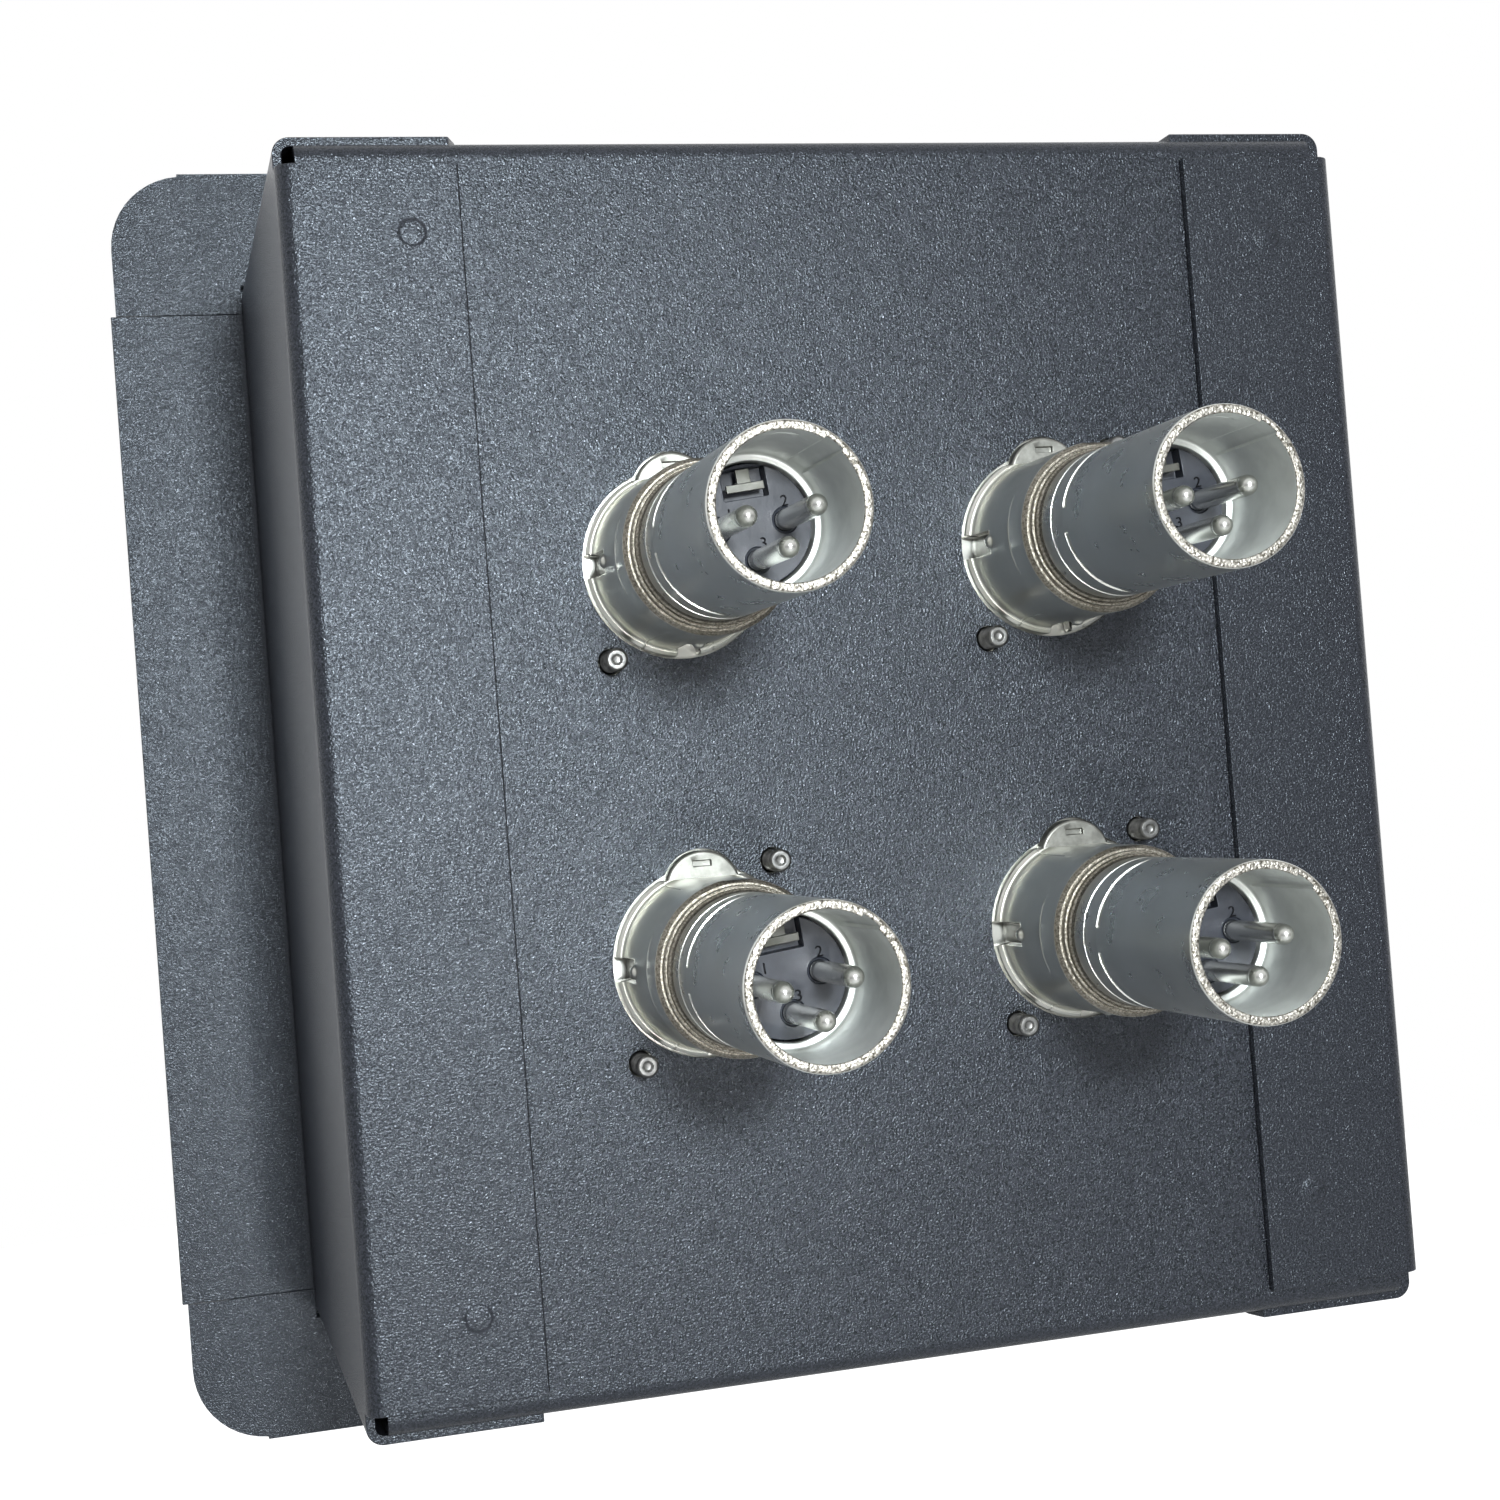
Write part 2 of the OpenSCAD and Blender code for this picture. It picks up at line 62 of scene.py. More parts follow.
mounts = {m["name"]: m for m in frame["record"]["mounts"]}
PLATE_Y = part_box("channel")[1].y          # outer face of the rear plate
CONNECTORS = (1, 2, 3, 4)

# The room, as surfaces see it
ROOM_FRONT = (0.06, 0.82)                 # brightness in front of the plate, low down and high up
ROOM_BACK = 1.0                           # brightness behind the box

# Box, in mm
SHEET_EDGE = 0.12                         # rounding of thin edges
TRIM_EDGE = 0.3                           # rounding of the rubber pieces
SHADOW_LINE_WIDTH = {"left": 0.08, "right": 0.28}  # painted shadow line along each flap's free edge, where the joint lies in shade
SHADOW_LINE_HEIGHT = 0.03                        # painted shadow line's height over the rear plate

# Connectors, in mm and degrees; heights count from the rear plate's outer face
INSIDE = -1.2                             # inner face of the rear plate
COLLAR_R, COLLAR_END, COLLAR_FLAT = 10.75, 18.3, 10.6
TRENCH_HALF, TRENCH_FLOOR, TRENCH_END = 1.35, 10.3, 6.5
TRENCHES = (180, -88)                     # where the collar's two trenches lie
PARTING_LINES = (117, -117, -72)          # where its hairline seams lie
BALL_R, BALL_Z, BALL_DEPTH = 0.95, 6.7, 10.5  # ball that ends each trench
ENGRAVED_Z = 13.1                         # engraved line
BARREL_R, CUP_R, RIM_Z = 9.2, 8.1, 53.2
RIM_BLAST_Z = 53.06                       # the blasted finish starts here
GROOVE_R, GROOVE_LOW, GROOVE_HIGH = 8.78, 27.15, 28.1
STEP_Z = 50.6                             # step line inside the rim
TWIST = 6.5                               # turn of the contacts about the connector's axis
KEY_ANGLE = 44 + TWIST                    # key groove in the cup
CONTACT_ANGLES, CONTACT_RING = (180, 0, -90), 3.95
FACE_Z = 37.12                            # middle of the raised numbers
SCREWS_AT = ((-9.5, -12), (9.5, 12))
SPRING_Y, SPRING_FOOT = 11.8, -0.2        # the coil's axis, and the height of its fixed end
THREAD_PITCH, THREAD_DEPTH = 0.5, 0.26


# ---------- Stage ----------

def add_camera():
    """Stands low on the +X side behind the box and looks at the rear plate."""
    data = bpy.data.cameras.new("camera")
    data.lens, data.sensor_width = 56.47, 36
    data.clip_start = 0.01
    cam = bpy.data.objects.new("camera", data)
    cam.location = (0.0938, 0.3725, -0.0041)
    cam.rotation_euler = [math.radians(a) for a in (90.967, 4.412, 165.224)]
    bpy.context.collection.objects.link(cam)
    bpy.context.scene.camera = cam


def add_light(name, at, target, size, watts, colour=(1, 1, 1)):
    data = bpy.data.lights.new(name, "AREA")
    data.shape, data.size, data.energy, data.color = "DISK", size, watts, colour
    ob = bpy.data.objects.new(name, data)
    ob.location = at
    ob.rotation_euler = (Vector(target) - Vector(at)).to_track_quat("-Z", "Y").to_euler()
    ob.visible_camera = False
    bpy.context.collection.objects.link(ob)


def add_world():
    """White to the camera. In what the surfaces receive it is white behind the object (-Y) and a darker, cool
    room in front of it, darkest low down."""
    world = bpy.data.worlds.new("studio")
    bpy.context.scene.world = world
    world.use_nodes = True
    tree = world.node_tree
    tree.nodes.clear()
    path = tree.nodes.new("ShaderNodeLightPath")
    seen = tree.nodes.new("ShaderNodeBackground")
    seen.inputs["Color"].default_value = (1, 1, 1, 1)
    room = tree.nodes.new("ShaderNodeBackground")
    room.inputs["Color"].default_value = (0.98, 0.99, 1, 1)
    turned = tree.nodes.new("ShaderNodeSeparateXYZ")
    tree.links.new(tree.nodes.new("ShaderNodeTexCoord").outputs["Generated"], turned.inputs[0])

    def ramp(value, start, end, low, high):
        node = tree.nodes.new("ShaderNodeMapRange")
        for key, number in (("From Min", start), ("From Max", end), ("To Min", low), ("To Max", high)):
            node.inputs[key].default_value = number
        tree.links.new(value, node.inputs["Value"])
        return node
    front = ramp(turned.outputs["Z"], -0.5, 0.5, *ROOM_FRONT)
    level = ramp(turned.outputs["Y"], -0.3, 0.5, ROOM_BACK, 0)
    tree.links.new(front.outputs[0], level.inputs["To Max"])
    tree.links.new(level.outputs[0], room.inputs["Strength"])
    mix = tree.nodes.new("ShaderNodeMixShader")
    out = tree.nodes.new("ShaderNodeOutputWorld")
    tree.links.new(path.outputs["Is Camera Ray"], mix.inputs["Fac"])
    tree.links.new(room.outputs[0], mix.inputs[1])
    tree.links.new(seen.outputs[0], mix.inputs[2])
    tree.links.new(mix.outputs[0], out.inputs["Surface"])


def add_floor():
    """A pale floor that fades into the white behind it."""
    n, radius, level = 96, 1.6, -0.32
    turns = [2 * math.pi * k / n for k in range(n)]
    rim = [(0, 0, 0)] + [(radius * math.cos(a), radius * math.sin(a), 0) for a in turns]
    mesh = bpy.data.meshes.new("floor")
    mesh.from_pydata(rim, [], [(0, 1 + k, 1 + (k + 1) % n) for k in range(n)])
    floor = bpy.data.objects.new("floor", mesh)
    floor.location.z = level
    bpy.context.collection.objects.link(floor)
    paint = finish("pale_floor", (0.50, 0.50, 0.50), (0.54, 0.54, 0.54), (0.7, 0.8), 4)
    tree = paint.node_tree
    glow = tree.nodes.new("ShaderNodeMath")
    glow.operation, glow.inputs[1].default_value = "MULTIPLY", 0.75
    tree.links.new(tree.nodes.new("ShaderNodeLightPath").outputs["Is Camera Ray"], glow.inputs[0])
    bsdf = tree.nodes["Principled BSDF"]
    bsdf.inputs["Emission Color"].default_value = (1, 1, 1, 1)
    tree.links.new(glow.outputs[0], bsdf.inputs["Emission Strength"])
    mesh.materials.append(paint)


# ---------- Materials ----------

def finish(name, dark, light, rough, mottle, grains=(), metallic=0.0, specular=0.5, tint=(1, 1, 1)):
    """A procedural finish. Its colour runs between dark and light over a noise of `mottle` cells a metre, its
    roughness over the range `rough`, and each grain (kind, cells a metre, height in mm, share) adds a bump of
    the kind noise, fine or cells. tint colours the gloss."""
    mat = bpy.data.materials.new(name)
    mat.use_nodes = True
    tree = mat.node_tree
    bsdf = tree.nodes["Principled BSDF"]
    bsdf.inputs["Metallic"].default_value = metallic
    bsdf.inputs["Specular IOR Level"].default_value = specular
    bsdf.inputs["Specular Tint"].default_value = (*tint, 1)
    coords = tree.nodes.new("ShaderNodeTexCoord").outputs["Object"]

    def texture(kind, scale):
        node = tree.nodes.new("ShaderNodeTexVoronoi" if kind == "cells" else "ShaderNodeTexNoise")
        node.inputs["Scale"].default_value = scale
        if kind == "cells":
            node.feature = "SMOOTH_F1"
            node.inputs["Smoothness"].default_value = 0.6
            out = node.outputs["Distance"]
        else:
            node.inputs["Detail"].default_value = 3 if kind == "noise" else 0.5
            out = node.outputs["Fac"]
        tree.links.new(coords, node.inputs["Vector"])
        return out

    colours = tree.nodes.new("ShaderNodeValToRGB")
    start, end = colours.color_ramp.elements
    start.position, end.position = 0.35, 0.65
    start.color, end.color = (*dark, 1), (*light, 1)
    tree.links.new(texture("noise", mottle), colours.inputs["Fac"])
    tree.links.new(colours.outputs["Color"], bsdf.inputs["Base Color"])

    spread = tree.nodes.new("ShaderNodeMapRange")
    spread.inputs["From Min"].default_value, spread.inputs["From Max"].default_value = 0.3, 0.7
    spread.inputs["To Min"].default_value, spread.inputs["To Max"].default_value = rough
    tree.links.new(texture("noise", mottle * 2.7), spread.inputs["Value"])
    tree.links.new(spread.outputs["Result"], bsdf.inputs["Roughness"])

    normal = None
    for kind, scale, height, share in grains:
        bump = tree.nodes.new("ShaderNodeBump")
        bump.inputs["Distance"].default_value = height * MM
        bump.inputs["Strength"].default_value = share
        tree.links.new(texture(kind, scale), bump.inputs["Height"])
        if normal:
            tree.links.new(normal, bump.inputs["Normal"])
        normal = bump.outputs["Normal"]
    if normal:
        tree.links.new(normal, bsdf.inputs["Normal"])
    return mat


powder = finish("powder_coat", (0.002, 0.003, 0.004), (0.026, 0.027, 0.035), (0.16, 0.36), 3800,
                [("fine", 4000, 0.088, 1.0), ("cells", 6000, 0.046, 0.8)], tint=(0.82, 0.91, 1.0))
nickel = finish("nickel_turned", (0.74, 0.75, 0.70), (0.80, 0.81, 0.77), (0.26, 0.32), 90, (), 1.0)
nickel_cup = finish("nickel_cup", (0.74, 0.76, 0.73), (0.82, 0.84, 0.81), (0.36, 0.44), 400, (), 0.75)
nickel_cast = finish("nickel_cast", (0.70, 0.70, 0.64), (0.78, 0.78, 0.72), (0.28, 0.36), 90,
                     [("fine", 500, 0.006, 0.4)], 1.0)
nickel_dull = finish("nickel_dull", (0.22, 0.22, 0.20), (0.34, 0.34, 0.31), (0.34, 0.44), 700,
                     [("noise", 900, 0.015, 0.5)], 1.0)
nickel_blasted = finish("nickel_blasted", (0.09, 0.08, 0.06), (0.66, 0.63, 0.57), (0.32, 0.48), 3600,
                        [("noise", 2800, 0.10, 1.0), ("cells", 4400, 0.06, 0.8)], 1.0)
nickel_shoulder = finish("nickel_shoulder", (0.13, 0.115, 0.09), (0.40, 0.375, 0.32), (0.34, 0.48), 3600,
                         [("noise", 3000, 0.06, 1.0), ("cells", 4400, 0.03, 0.8)], 1.0)
# Dark nickel, painted shade: the collar's trench floors are painted as the plate's dark reflection, and the
# ground contact is painted dark as if shaded in its recess.
recess = finish("nickel_painted_shade", (0.07, 0.07, 0.06), (0.12, 0.12, 0.11), (0.30, 0.40), 400,
                [("fine", 500, 0.006, 0.4)], 1.0)
contact = finish("contact_plate", (0.66, 0.66, 0.62), (0.74, 0.74, 0.70), (0.24, 0.28), 60, (), 1.0)
zinc = finish("zinc_plate", (0.26, 0.26, 0.25), (0.44, 0.44, 0.42), (0.30, 0.46), 900,
              [("noise", 900, 0.03, 0.6)], 1.0)
screw_zinc = finish("screw_zinc", (0.12, 0.12, 0.12), (0.26, 0.26, 0.25), (0.30, 0.46), 900,
                    [("noise", 900, 0.02, 0.5)], 1.0)
wire = finish("spring_wire", (0.44, 0.44, 0.43), (0.58, 0.58, 0.56), (0.22, 0.34), 700,
              [("noise", 1500, 0.01, 0.5)], 1.0)
moulded = finish("blue_black_moulding", (0.016, 0.019, 0.028), (0.028, 0.032, 0.044), (0.30, 0.44), 500,
                 [("noise", 1600, 0.02, 0.6), ("fine", 5000, 0.01, 0.5)])
# Near-black paint for painted shade: the shadow lines along the flaps' edges and the numbers' shaded edges.
painted_shade = finish("painted_shade_line", (0.003, 0.003, 0.004), (0.006, 0.006, 0.008), (0.55, 0.65), 500, specular=0.15)
rubber = finish("rubber", (0.012, 0.012, 0.012), (0.026, 0.026, 0.026), (0.62, 0.80), 700,
                [("noise", 2200, 0.03, 0.7)], specular=0.35)


# ---------- Building ----------

def rounded(points, steps=3):
    """The closed line through points of (radius, height, corner radius), with arcs for its corners."""
    out = []
    for i, point in enumerate(points):
        here, r = Vector(point[:2]), point[2]
        back = Vector(points[i - 1][:2]) - here
        ahead = Vector(points[(i + 1) % len(points)][:2]) - here
        half = back.angle(ahead) / 2
        if r == 0 or half > math.radians(88):
            out.append(tuple(here))
            continue
        cut = min(r / math.tan(half), 0.45 * back.length, 0.45 * ahead.length)
        back, ahead = back.normalized(), ahead.normalized()
        centre = here + (back + ahead).normalized() * cut / math.cos(half)
        first, last = here + back * cut - centre, here + ahead * cut - centre
        for k in range(steps + 1):
            out.append(tuple(centre + first.lerp(last, k / steps).normalized() * first.length))
    return out


def split_at(profile, heights, least_r=0.0):
    """The closed profile with a point added wherever a side beyond least_r crosses one of the heights."""
    out = []
    for a, b in zip(profile, profile[1:] + profile[:1]):
        out.append(a)
        if min(a[0], b[0]) <= least_r:
            continue
        low, high = min(a[1], b[1]) + 0.01, max(a[1], b[1]) - 0.01
        inside = [(h - a[1]) / (b[1] - a[1]) for h in heights if low < h < high]
        out += [(a[0] + (b[0] - a[0]) * t, a[1] + (b[1] - a[1]) * t) for t in sorted(inside)]
    return out


def turn_angles(count, *fine):
    """Angles of a full turn in degrees, closer together near each (centre, half width, step)."""
    found = {round(360 * k / count, 3) for k in range(count)}
    for centre, half, step in fine:
        found = {a for a in found if abs((a - centre + 180) % 360 - 180) > half + step / 2}
        found |= {round((centre + k * step) % 360, 3) for k in range(-int(half / step), int(half / step) + 1)}
    return sorted(found)


def revolve(profile, angles, shape=None):
    """Vertices and faces of a closed profile of (radius, height) turned about z. shape(r, z, angle) may move
    each point."""
    def plain(r, z, a):
        return r * math.cos(math.radians(a)), r * math.sin(math.radians(a)), z
    shape = shape or plain
    rows, verts, faces = [], [], []
    for r, z in profile:
        here = [plain(0, z, 0)] if r < 1e-6 else [shape(r, z, a) for a in angles]
        rows.append(list(range(len(verts), len(verts) + len(here))))
        verts += here
    for a, b in zip(rows, rows[1:] + rows[:1]):
        for k in range(len(angles)):
            n = (k + 1) % len(angles)
            ring = [a[k % len(a)], a[n % len(a)], b[n % len(b)], b[k % len(b)]]
            ring = [v for j, v in enumerate(ring) if v != ring[j - 1]]
            if len(ring) > 2:
                faces.append(ring)
    return verts, faces


def mesh_from(name, verts, faces, materials, paint=None):
    """Mesh data from points in mm. paint(x, y, z, r) gives the material's number for a face's centre."""
    mesh = bpy.data.meshes.new(name)
    mesh.from_pydata([Vector(v) * MM for v in verts], [], faces)
    bm = bmesh.new()
    bm.from_mesh(mesh)
    bmesh.ops.remove_doubles(bm, verts=bm.verts, dist=1e-7)
    bmesh.ops.recalc_face_normals(bm, faces=bm.faces)
    bm.to_mesh(mesh)
    bm.free()
    for material in materials:
        mesh.materials.append(material)
    for face in mesh.polygons:
        face.use_smooth = True
        if paint:
            x, y, z = face.center / MM
            face.material_index = paint(x, y, z, math.hypot(x, y))
    return mesh


def piece(name, mesh, body, at=None, hides=()):
    """Adds a piece that rides on a body. hides names the CAD nodes it stands for."""
    ob = bpy.data.objects.new(name, mesh)
    bpy.context.collection.objects.link(ob)
    if at:
        ob.matrix_world = at
    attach(ob, body)
    if hides:
        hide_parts(*hides)
    return ob


def even_normals(ob):
    mod = ob.modifiers.new("even_normals", "WEIGHTED_NORMAL")
    mod.mode, mod.weight, mod.keep_sharp = "FACE_AREA", 60, False


def soften(ob, width, segments=2):
    """Rounds a mesh's sharp edges by `width` mm, by modifiers only."""
    for face in ob.data.polygons:
        face.use_smooth = True
    weld = ob.modifiers.new("weld", "WELD")
    weld.merge_threshold = 1e-6
    flat = ob.modifiers.new("flat_faces", "DECIMATE")
    flat.decimate_type, flat.angle_limit = "DISSOLVE", math.radians(0.6)
    bevel = ob.modifiers.new("edges", "BEVEL")
    bevel.width, bevel.segments, bevel.limit_method = width * MM, segments, "ANGLE"
    bevel.angle_limit, bevel.use_clamp_overlap, bevel.miter_outer = math.radians(28), False, "MITER_ARC"
    even_normals(ob)


def paint_node(name, material, width):
    """Gives a CAD node its finish, and rounds its edges by `width` mm unless that is 0."""
    ob = nodes[name]
    ob.data.materials.clear()
    ob.data.materials.append(material)
    if width:
        soften(ob, width)
    else:
        for face in ob.data.polygons:
            face.use_smooth = True


def carved(mesh, cutters, operation="DIFFERENCE"):
    """A copy of the mesh with each cutter's (verts, faces), in mm, cut from it or crossed with it."""
    ob = bpy.data.objects.new("carving", mesh)
    bpy.context.collection.objects.link(ob)
    tools = []
    for verts, faces in cutters:
        tool = bpy.data.objects.new("cutter", mesh_from("cutter", verts, faces, []))
        bpy.context.collection.objects.link(tool)
        mod = ob.modifiers.new("cut", "BOOLEAN")
        mod.operation, mod.object, mod.solver = operation, tool, "EXACT"
        tools.append(tool)
    graph = bpy.context.evaluated_depsgraph_get()
    result = bpy.data.meshes.new_from_object(ob.evaluated_get(graph))
    for used in [ob] + tools:
        bpy.data.objects.remove(used)
    return result


def block(low, high, turn=0):
    """Vertices and faces of a box, turned about z in degrees."""
    about_z = Matrix.Rotation(math.radians(turn), 3, "Z")
    corners = ((low[0], low[1]), (high[0], low[1]), (high[0], high[1]), (low[0], high[1]))
    verts = [tuple(about_z @ Vector((x, y, z))) for z in (low[2], high[2]) for x, y in corners]
    faces = [(3, 2, 1, 0), (4, 5, 6, 7)] + [(k, (k + 1) % 4, 4 + (k + 1) % 4, 4 + k) for k in range(4)]
    return verts, faces


def sweep(rows, across, sides):
    """Vertices and faces of a tube with closed ends through `rows` sections. across(k) gives section k."""
    verts, faces = [], []
    for k in range(rows):
        verts += [tuple(p) for p in across(k)]
    for a in range(0, (rows - 1) * sides, sides):
        b = a + sides
        faces += [(a + s, a + (s + 1) % sides, b + (s + 1) % sides, b + s) for s in range(sides)]
    faces += [tuple(range(sides))[::-1], tuple((rows - 1) * sides + s for s in range(sides))]
    return verts, faces


def joined(parts):
    """One list of vertices and faces out of several."""
    verts, faces = [], []
    for v, f in parts:
        faces += [tuple(i + len(verts) for i in face) for face in f]
        verts += v
    return verts, faces


def moved(part, offset):
    verts, faces = part
    return [tuple(Vector(v) + Vector(offset)) for v in verts], faces


def connector_place(i):
    """The connector's own frame in the row frame."""
    x, _, z = mounts[f"xlr{i}_rear"]["pos_m"]
    axes = Matrix(((-1, 0, 0, 0), (0, 0, 1, 0), (0, 1, 0, 0), (0, 0, 0, 1)))
    return Matrix.Translation((x, PLATE_Y, z)) @ axes


def angle_from(a, centre):
    """Angle from centre to a, between -180 and 180 degrees."""
    return (a - centre + 180) % 360 - 180


def window(x, half, soft):
    """1 inside +-half, falling to 0 over the next `soft`."""
    t = min(1.0, max(0.0, (half + soft - abs(x)) / soft))
    return t * t * (3 - 2 * t)


# ---------- Connector parts, in mm ----------

def collar_shape(r, z, a):
    """Flat top, two trenches that end in a ball each, hairline seams and a fine engraved line."""
    if r > 10.1:
        for centre in TRENCHES:
            side = math.radians(angle_from(a, centre)) * r
            cut = window(side, TRENCH_HALF, 0.15) * (1 if z < TRENCH_END else 0)
            r += (min(r, TRENCH_FLOOR) - r) * cut
            reach = BALL_R ** 2 - side ** 2 - (z - BALL_Z) ** 2
            if reach > 0:
                r = max(r, BALL_DEPTH + math.sqrt(reach))
        for centre in PARTING_LINES:
            r -= 0.12 * window(math.radians(angle_from(a, centre)) * r, 0.05, 0.1) * (1 if z < 9 else 0)
        r -= 0.1 * window(z - ENGRAVED_Z, 0.06, 0.08) * window(angle_from(a, 180), 24, 3)
    x, y = r * math.cos(math.radians(a)), r * math.sin(math.radians(a))
    return x, (min(y, COLLAR_FLAT) if r > 9.9 else y), z


def make_collar():
    foot = [(10.93 + 0.42 * (1 - math.sin(t)), 1.14 + 1.6 * (1 - math.cos(t)), 0)
            for t in [math.radians(a) for a in range(0, 90, 12)]]
    profile = rounded([(11.9, INSIDE, 0), (11.9, 0.7, 0.1), (11.46, 1.16, 0.08), (11.38, 1.08, 0.02)] + foot
                      + [(10.92, 3.6, 0), (COLLAR_R, 11, 6), (COLLAR_R, 17.65, 0.15),
                         (10.25, COLLAR_END, 0.12), (8.97, COLLAR_END, 0.1), (8.97, 11, 0),
                         (9.6, 11, 0), (9.6, INSIDE, 0)], steps=4)
    heights = [0.2 * k for k in range(1, 45)] + [9, 12.9, 12.98, 13.04, 13.1, 13.16, 13.22, 13.3]
    angles = turn_angles(144, *[(t, 9, 0.5) for t in TRENCHES], *[(s, 1, 0.25) for s in PARTING_LINES],
                         (63, 3, 0.5), (80, 3, 0.5), (100, 3, 0.5))
    verts, faces = revolve(split_at(profile, heights, 10.1), angles, collar_shape)

    def paint(x, y, z, r):
        if z > 17.7 and r > 9.2:
            return 1
        turn = math.degrees(math.atan2(y, x))
        off = min(abs(angle_from(turn, centre)) for centre in TRENCHES)
        # trench floors take the dark nickel: a painted dark reflection
        return 2 if z < 6.45 and r > 9.7 and math.radians(off) * r < TRENCH_HALF + 0.12 else 0
    return mesh_from("collar", verts, faces, [nickel_cast, nickel_shoulder, recess], paint)


def barrel_shape(r, z, a):
    """Groove in two arcs a side that run out upwards and downwards, key groove in the cup, and a short step
    line inside the rim."""
    if GROOVE_LOW - 0.15 < z < GROOVE_HIGH + 0.2 and 8.6 < r < 9.19:
        off = min(abs(angle_from(a, 180)), abs(angle_from(a, 0)))
        r += (BARREL_R - r) * (1 - (1 - window(off, 9, 2)) * window(off, 55, 33))
    if r < 8.5 and z > 38.5:
        r += (8.45 - r) * window(angle_from(a, KEY_ANGLE), 7.6, 0.6)
        r += 0.2 * window(z - STEP_Z, 0.15, 0.1) * window(angle_from(a, 98), 22, 2)
    return r * math.cos(math.radians(a)), r * math.sin(math.radians(a)), z


def make_barrel():
    profile = rounded([(6.92, 11, 0), (8.95, 11, 0), (8.95, COLLAR_END, 0), (10, COLLAR_END, 0.06),
                       (10, 19.2, 0.15), (9.74, 19.3, 0.04), (9.72, 19.05, 0.03), (9.6, 19.05, 0.03),
                       (9.58, 19.7, 0.08), (9.36, 19.9, 0.06), (BARREL_R, 20.5, 0.1), (BARREL_R, 23.3, 0.03),
                       (8.96, 23.34, 0.03), (8.96, 23.75, 0.03), (BARREL_R, 23.8, 0.03),
                       (BARREL_R, GROOVE_LOW, 0.03), (GROOVE_R, GROOVE_LOW + 0.05, 0.03),
                       (GROOVE_R, GROOVE_HIGH - 0.1, 0.05), (BARREL_R, GROOVE_HIGH, 0.05),
                       (BARREL_R, RIM_Z, 0.4), (CUP_R, RIM_Z, 0.2), (CUP_R, 37.6, 0.9), (7.15, 37.6, 0.2),
                       (7.15, 35.6, 0), (6.92, 35.6, 0)], steps=4)
    heights = [38.7, 50.3, 50.38, 50.45, 50.6, 50.75, 50.82, 50.9]
    angles = turn_angles(144, (KEY_ANGLE, 9, 0.6), (180, 12, 0.75), (0, 12, 0.75))
    verts, faces = revolve(split_at(profile, heights, 8), angles, barrel_shape)

    def paint(x, y, z, r):
        if 18.2 < z < 20.45 and r > 9.21:
            return 2
        if z > RIM_BLAST_Z:
            return 1
        return 3 if z > 36 and r < 8.5 else 0
    return mesh_from("barrel", verts, faces, [nickel, nickel_blasted, nickel_shoulder, nickel_cup], paint)


def make_boss():
    """Half-moon that stands over the latch's pocket, with its slot."""
    body = revolve(rounded([(0, INSIDE, 0), (4.95, INSIDE, 0), (4.95, 1.0, 0.4), (0, 1.0, 0)], steps=5),
                   turn_angles(72))
    mesh = mesh_from("boss", *moved(body, (0, 9.05, 0)), [nickel_dull])
    slot = block((-1.2, 12.0, 0.4), (1.2, 12.75, 2))
    spring_room = block((-2.4, 10.7, -2), (2.4, 12.9, -0.2))
    return carved(mesh, [slot, spring_room])


def make_front_flange():
    """The casting's square flange with its keyhole, taken from the CAD housing."""
    place = connector_place(CONNECTORS[0])
    mesh = nodes["xlr1_housing"].data.copy()
    mesh.transform(place.inverted())
    bm = bmesh.new()
    bm.from_mesh(mesh)
    bmesh.ops.remove_doubles(bm, verts=bm.verts, dist=1e-7)
    bm.to_mesh(mesh)
    bm.free()
    mesh.materials.clear()
    mesh.materials.append(nickel_cast)
    return carved(mesh, [block((-20, -20, -10), (20, 20, -1.21))], "INTERSECT")


def contact_places():
    for a in CONTACT_ANGLES:
        a = math.radians(a + TWIST)
        yield CONTACT_RING * math.cos(a), CONTACT_RING * math.sin(a)


def make_contacts():
    arc = [math.radians(a) for a in range(0, 90, 10)]
    tip = [(1.19 * math.cos(a), 49.45 + 1.35 * math.sin(a), 0) for a in arc]
    profile = rounded([(0, 7.6, 0), (1.21, 7.6, 0), (1.21, -2.75, 0), (1.3, -2.9, 0), (1.7, -2.9, 0.15),
                       (1.7, 11, 0.1), (1.19, 11, 0), (1.19, 48.9, 0), (1.12, 49.05, 0), (1.19, 49.2, 0)]
                      + tip + [(0, 50.8, 0)])
    pin = revolve(profile, turn_angles(32))
    return mesh_from("contacts", *joined([moved(pin, (x, y, 0)) for x, y in contact_places()]), [contact])


def thread_shape(r, z, a):
    if 1.4 < r < 1.5 and -2.4 < z < 3.62:
        phase = (z / THREAD_PITCH - a / 360) % 1
        r -= THREAD_DEPTH * (1 - abs(2 * phase - 1)) * window(z - 0.6, 2.6, 0.4)
    return r * math.cos(math.radians(a)), r * math.sin(math.radians(a)), z


def make_screw():
    """Countersunk screw with a cross recess, a rolled thread and a dimpled end."""
    profile = rounded([(0, -4.2, 0), (2.93, -4.2, 0.06), (1.45, -2.7, 0.1), (1.45, 3.6, 0), (1.12, 3.9, 0.05),
                       (0.72, 3.9, 0.05), (0.45, 3.62, 0.1), (0, 3.55, 0)])
    heights = [-2.4 + THREAD_PITCH / 8 * k for k in range(97)]
    body = revolve(split_at(profile, heights, 1.3), turn_angles(32), thread_shape)
    cross = [block((-1.5, -0.35, -5), (1.5, 0.35, -3.3), turn) for turn in (0, 90)]
    return carved(mesh_from("screw", *body, [screw_zinc]), cross)


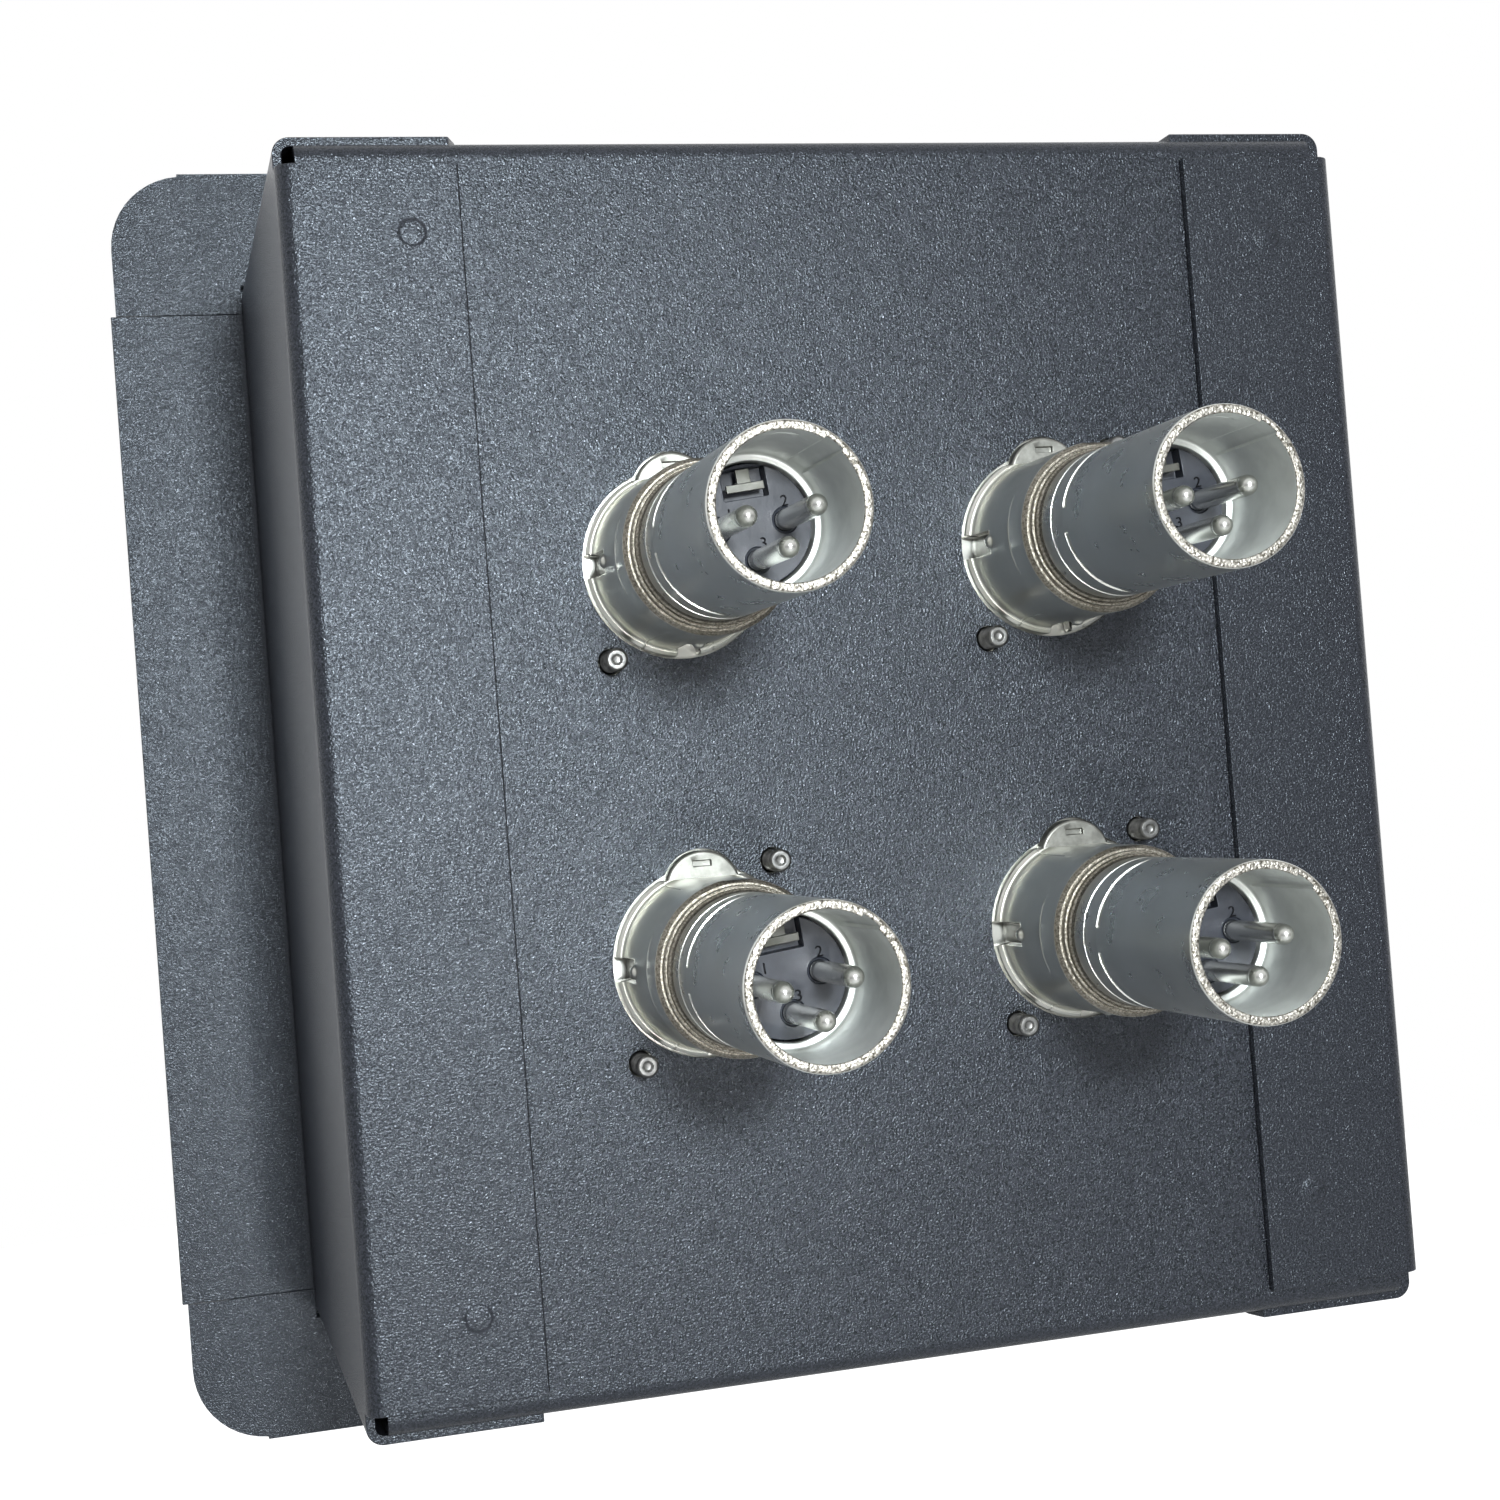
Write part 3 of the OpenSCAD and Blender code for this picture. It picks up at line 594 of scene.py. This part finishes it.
def make_spring():
    """Coil between the latch and its foot in the casting."""
    turns, coil, thick, low, sides = 3, 0.8, 0.13, -3.0, 10
    steps = 24 * turns

    def ring(k):
        a = 2 * math.pi * turns * k / steps
        z = low + thick + (SPRING_FOOT - low - 2 * thick) * k / steps
        for s in range(sides):
            b = 2 * math.pi * s / sides
            r = coil + thick * math.cos(b)
            yield r * math.cos(a), SPRING_Y + r * math.sin(a), z + thick * math.sin(b)
    return mesh_from("spring", *sweep(steps + 1, ring, sides), [wire])


def make_digits():
    """The contacts' numbers, raised on the insert's face and painted near-black: painted shade for the shadow
    along their edges. Text is turned into mesh data.
    """
    turn = Matrix.Rotation(math.radians(TWIST), 3, "Z")
    parts = []
    for text, x, y in (("1", -2.8, 0.95), ("2", 3.75, 1.55), ("3", 0.5, -2.75)):
        curve = bpy.data.curves.new("digit", "FONT")
        curve.body, curve.size, curve.extrude, curve.resolution_u = text, 1.8, 0.12, 3
        ob = bpy.data.objects.new("digit", curve)
        bpy.context.collection.objects.link(ob)
        bpy.context.view_layer.update()
        mesh = bpy.data.meshes.new_from_object(ob)
        verts = [tuple(turn @ (v.co + Vector((x, y, FACE_Z)))) for v in mesh.vertices]
        parts.append((verts, [tuple(f.vertices) for f in mesh.polygons]))
        bpy.data.objects.remove(ob)
    return mesh_from("digits", *joined(parts), [painted_shade])


def make_ribs():
    """Grip ribs across the latch's push tab."""
    ribs = [block((-3.2, y - 0.22, -8.1), (3.2, y + 0.22, -7.7)) for y in (11.7, 12.7, 13.7)]
    return mesh_from("ribs", *joined(ribs), [nickel])


def add_connectors():
    meshes = {"collar": make_collar(), "barrel": make_barrel(), "boss": make_boss(),
              "front_flange": make_front_flange(), "contacts": make_contacts(), "digits": make_digits(),
              "ribs": make_ribs(), "screw": make_screw(), "spring": make_spring()}
    for i in CONNECTORS:
        at = connector_place(i)
        name = f"xlr{i}_"
        even_normals(piece(name + "collar", meshes["collar"], "box", at, [name + "housing"]))
        soften(piece(name + "latch_boss", meshes["boss"], "box", at), 0.08)
        soften(piece(name + "front_flange", meshes["front_flange"], "box", at), 0.2)
        even_normals(piece(name + "cup_barrel", meshes["barrel"], "box", at,
                           [name + "barrel"]))
        even_normals(piece(name + "contact_pins", meshes["contacts"], "box", at,
                           [name + "contacts"]))
        soften(piece(name + "digits", meshes["digits"], "box", at), 0.02, 1)
        soften(piece(name + "tab_ribs", meshes["ribs"], f"latch{i}", at), 0.12)
        for k, (x, y) in enumerate(SCREWS_AT):
            turn = Matrix.Rotation(math.radians(37 + 61 * i * (k + 1)), 4, "Z")
            screw_at = at @ Matrix.Translation((x * MM, y * MM, 0)) @ turn
            hides = [name + "screws"] if k == 0 else ()
            even_normals(piece(f"{name}screw_{k + 1}", meshes["screw"], "box", screw_at, hides))
        spring = piece(name + "coil_spring", meshes["spring"], "box", at,
                       [name + "latch_spring"])
        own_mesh(spring)
        paint_node(name + "male_insert", moulded, 0.1)
        paint_node(name + "female_insert", moulded, 0.15)
        # painted shade: the ground contact is painted in dark nickel
        paint_node(name + "ground_contact", recess, 0.06)
        paint_node(name + "latch", nickel, 0.15)


# ---------- Box, cover and hinge ----------

def add_flap_rivets():
    """Low painted heads on the flaps, with their tails inside the box."""
    profile = rounded([(0, -1.7, 0), (1.9, -1.7, 0.2), (1.9, -1.2, 0), (1.2, -1.2, 0), (1.2, 1.15, 0),
                       (1.95, 1.15, 0), (1.95, 1.19, 0.02), (1.72, 1.24, 0.3), (1.5, 1.4, 0.3), (0, 1.45, 0)],
                      steps=4)
    groups = []                           # the CAD group's points, rivet by rivet
    for point in (v.co for v in nodes["flap_rivets"].data.vertices):
        group = next((g for g in groups if (g[0] - point).length < 0.012), None)
        if group:
            group.append(point)
        else:
            groups.append([point.copy()])
    for k, points in enumerate(groups):
        x = (min(p.x for p in points) + max(p.x for p in points)) / 2
        z = (min(p.z for p in points) + max(p.z for p in points)) / 2
        mesh = mesh_from("flap_rivet", *revolve(profile, turn_angles(40)), [powder])
        at = Matrix.Translation((x, PLATE_Y, z)) @ Matrix.Rotation(math.radians(-90), 4, "X")
        hides = ["flap_rivets"] if k == 0 else ()
        even_normals(piece(f"flap_rivet_{k + 1}", mesh, "box", at, hides))


def add_flap_shadow_lines():
    """Painted shadow: thin near-black strips on the rear plate along the flaps' free edges, where the joint
    lies in shade.
    """
    plate = PLATE_Y / MM
    for side, sign in (("left", -1), ("right", 1)):
        flap = [v.co / MM for v in nodes[f"cheek_{side}"].data.vertices if v.co.y / MM > plate + 1]
        edge = min(p.x * sign for p in flap)
        top = max(p.z for p in flap if p.x * sign < edge + 0.1)
        x = sorted((sign * edge, sign * (edge - SHADOW_LINE_WIDTH[side])))
        line = block((x[0], plate, -top), (x[1], plate + SHADOW_LINE_HEIGHT, top))
        piece(f"flap_shadow_line_{side}", mesh_from("flap_shadow_line", *line, [painted_shade]), "box")


def add_box_and_cover():
    for name in ("channel", "cover"):
        paint_node(name, powder, 0)
    for name in ("cheek_left", "cheek_right"):
        paint_node(name, powder, SHEET_EDGE)
    for name in ("hinge_leaf_fixed", "hinge_leaf_moving", "hinge_pin", "flange_rivets", "cover_rivets"):
        paint_node(name, zinc, SHEET_EDGE)
    for name in ("cable_trims", "bumpers"):
        paint_node(name, rubber, TRIM_EDGE)


add_camera()
add_world()
add_floor()
add_light("key", (0.035, 0.76, 0.12), (0, 0.08, 0), 0.10, 4.9, (0.90, 0.96, 1))
add_light("glint", (0.02, 0.66, -0.13), (0.05, 0.08, -0.04), 0.02, 0.7)
add_box_and_cover()
add_flap_rivets()
add_flap_shadow_lines()
add_connectors()
bpy.context.scene.view_settings.view_transform = "Standard"
